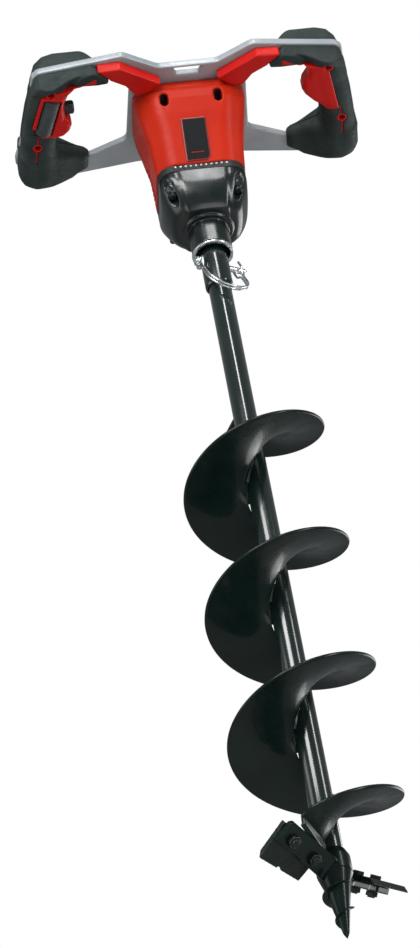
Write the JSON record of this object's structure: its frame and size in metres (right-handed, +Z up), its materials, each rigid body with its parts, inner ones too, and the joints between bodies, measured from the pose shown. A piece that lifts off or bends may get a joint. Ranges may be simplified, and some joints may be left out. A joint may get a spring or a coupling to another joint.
{
  "type": "cordless earth auger",
  "caption": "Twin-grip battery earth auger with a pinned helical drill, bolted cutters and a centre screw point.",
  "frame": {"origin": "tip of the centre screw point, on the drill axis", "axes": "+Z up the drill axis to the head, +X to the right seen from the front, +Y to the back of the head"},
  "size_m": [0.374, 0.186, 1.0216],
  "materials": {
    "drill_paint": "gloss black powder coat over steel",
    "blade_steel": "dark coated tool steel with a bare ground tip",
    "zinc": "bright zinc plate",
    "dark_fastener": "black oxide",
    "gear_steel": "machined steel",
    "case_black": "smooth black",
    "collar_black": "fine texture",
    "housing_red": "satin moulded",
    "core_red": "satin moulded",
    "grip_rubber": "soft matt overmould",
    "plate_alu": "satin silver",
    "label_black": "printed label",
    "board_green": "solder mask",
    "winding": "enamelled winding and laminations",
    "seal_rubber": "oil seal",
    "trigger_grey": "fine texture",
    "dock_black": "moulded",
    "brass": "contact metal"
  },
  "bodies": {
    "head": {"ring_gear": "gear_steel", "stator": "winding", "motor_cap": "plate_alu", "motor_bearing_lower": "gear_steel", "motor_bearing_upper": "gear_steel", "output_bearing_lower": "gear_steel", "output_bearing_upper": "gear_steel", "shaft_seal": "seal_rubber", "neck_ring": "zinc", "gear_case": "case_black", "gear_case_screws": "dark_fastener", "collar_ring": "collar_black", "gearbox_end_plate": "plate_alu", "motor_housing_front": "housing_red", "motor_housing_rear": "housing_red", "housing_screws": "dark_fastener", "label_plate": "label_black", "controller_board": "board_green", "frame_plate": "plate_alu", "handle_core_left": "core_red", "handle_core_right": "core_red", "grip_left_lower": "grip_rubber", "grip_left_upper": "grip_rubber", "grip_right_lower": "grip_rubber", "grip_right_upper": "grip_rubber", "handle_screws": "dark_fastener", "trigger_pin": "zinc", "trigger_spring": "zinc", "trigger_switch": "dock_black", "battery_dock": "dock_black", "battery_terminals": "brass"},
    "auger": {"screw_point": "drill_paint", "screw_spiral": "drill_paint", "drill_hub": "drill_paint", "auger_tube": "drill_paint", "flighting": "drill_paint", "flight_welds": "drill_paint", "blade_holder_left": "drill_paint", "blade_holder_right": "drill_paint", "cutter_blade_left": "blade_steel", "cutter_blade_right": "blade_steel", "cutter_bolts": "dark_fastener", "cutter_nuts": "dark_fastener", "drive_sleeve": "drill_paint", "output_spindle": "gear_steel"},
    "pin": {"lock_pin": "zinc"},
    "bail": {"pin_bail": "zinc"},
    "carrier": {"carrier_1": "gear_steel"},
    "rotor": {"motor_shaft": "gear_steel", "rotor": "gear_steel", "cooling_fan": "dock_black"},
    "trigger": {"trigger": "trigger_grey"},
    "lock_button": {"lock_button": "dock_black"},
    "planet_2a": {"planet_2a": "gear_steel"},
    "planet_1a": {"planet_1a": "gear_steel"},
    "planet_2b": {"planet_2b": "gear_steel"},
    "planet_1b": {"planet_1b": "gear_steel"},
    "planet_2c": {"planet_2c": "gear_steel"},
    "planet_1c": {"planet_1c": "gear_steel"}
  },
  "joints": [
    {"name": "auger_spin", "type": "hinge", "parent": "head", "child": "auger", "pos_m": [0, 0, 0.8], "axis": [0, 0, 1], "continuous": true},
    {"name": "carrier_spin", "type": "hinge", "parent": "head", "child": "carrier", "pos_m": [0, 0, 0.86], "axis": [0, 0, 1], "continuous": true},
    {"name": "motor_spin", "type": "hinge", "parent": "head", "child": "rotor", "pos_m": [0, 0, 0.9], "axis": [0, 0, 1], "continuous": true},
    {"name": "planet_2a_spin", "type": "hinge", "parent": "auger", "child": "planet_2a", "pos_m": [0.01875, 0, 0.85], "axis": [0, 0, 1], "continuous": true},
    {"name": "planet_2b_spin", "type": "hinge", "parent": "auger", "child": "planet_2b", "pos_m": [-0.00937, 0.01624, 0.85], "axis": [0, 0, 1], "continuous": true},
    {"name": "planet_2c_spin", "type": "hinge", "parent": "auger", "child": "planet_2c", "pos_m": [-0.00937, -0.01624, 0.85], "axis": [0, 0, 1], "continuous": true},
    {"name": "planet_1a_spin", "type": "hinge", "parent": "carrier", "child": "planet_1a", "pos_m": [0.01875, 0, 0.87], "axis": [0, 0, 1], "continuous": true},
    {"name": "planet_1b_spin", "type": "hinge", "parent": "carrier", "child": "planet_1b", "pos_m": [-0.00937, 0.01624, 0.87], "axis": [0, 0, 1], "continuous": true},
    {"name": "planet_1c_spin", "type": "hinge", "parent": "carrier", "child": "planet_1c", "pos_m": [-0.00937, -0.01624, 0.87], "axis": [0, 0, 1], "continuous": true},
    {"name": "pin_turn", "type": "hinge", "parent": "auger", "child": "pin", "pos_m": [0, 0, 0.785], "axis": [-0.891, -0.454, 0], "range_deg": [0, 80]},
    {"name": "bail_swing", "type": "hinge", "parent": "pin", "child": "bail", "pos_m": [-0.01648, -0.0084, 0.785], "axis": [-0.4179, 0.8202, -0.3907], "range_deg": [0, 28]},
    {"name": "trigger_pull", "type": "hinge", "parent": "head", "child": "trigger", "pos_m": [-0.156, -0.033, 0.974], "axis": [-0.9681, -0.2504, 0], "range_deg": [0, 7], "stiffness_Nm_per_rad": 0.6, "springref_deg": -20.05, "deforming": ["trigger_spring"]},
    {"name": "lock_button_press", "type": "slide", "parent": "head", "child": "lock_button", "axis": [-1, 0, 0], "range_m": [0, 0.003], "stiffness_N_per_m": 400, "springref_m": -0.002}
  ],
  "couplings": [
    {"joint": "carrier_spin", "follows": "auger_spin", "ratio": 5},
    {"joint": "motor_spin", "follows": "auger_spin", "ratio": 25},
    {"joint": "planet_2a_spin", "follows": "auger_spin", "ratio": -2.6667},
    {"joint": "planet_2b_spin", "follows": "auger_spin", "ratio": -2.6667},
    {"joint": "planet_2c_spin", "follows": "auger_spin", "ratio": -2.6667},
    {"joint": "planet_1a_spin", "follows": "auger_spin", "ratio": -13.333},
    {"joint": "planet_1b_spin", "follows": "auger_spin", "ratio": -13.333},
    {"joint": "planet_1c_spin", "follows": "auger_spin", "ratio": -13.333}
  ]
}
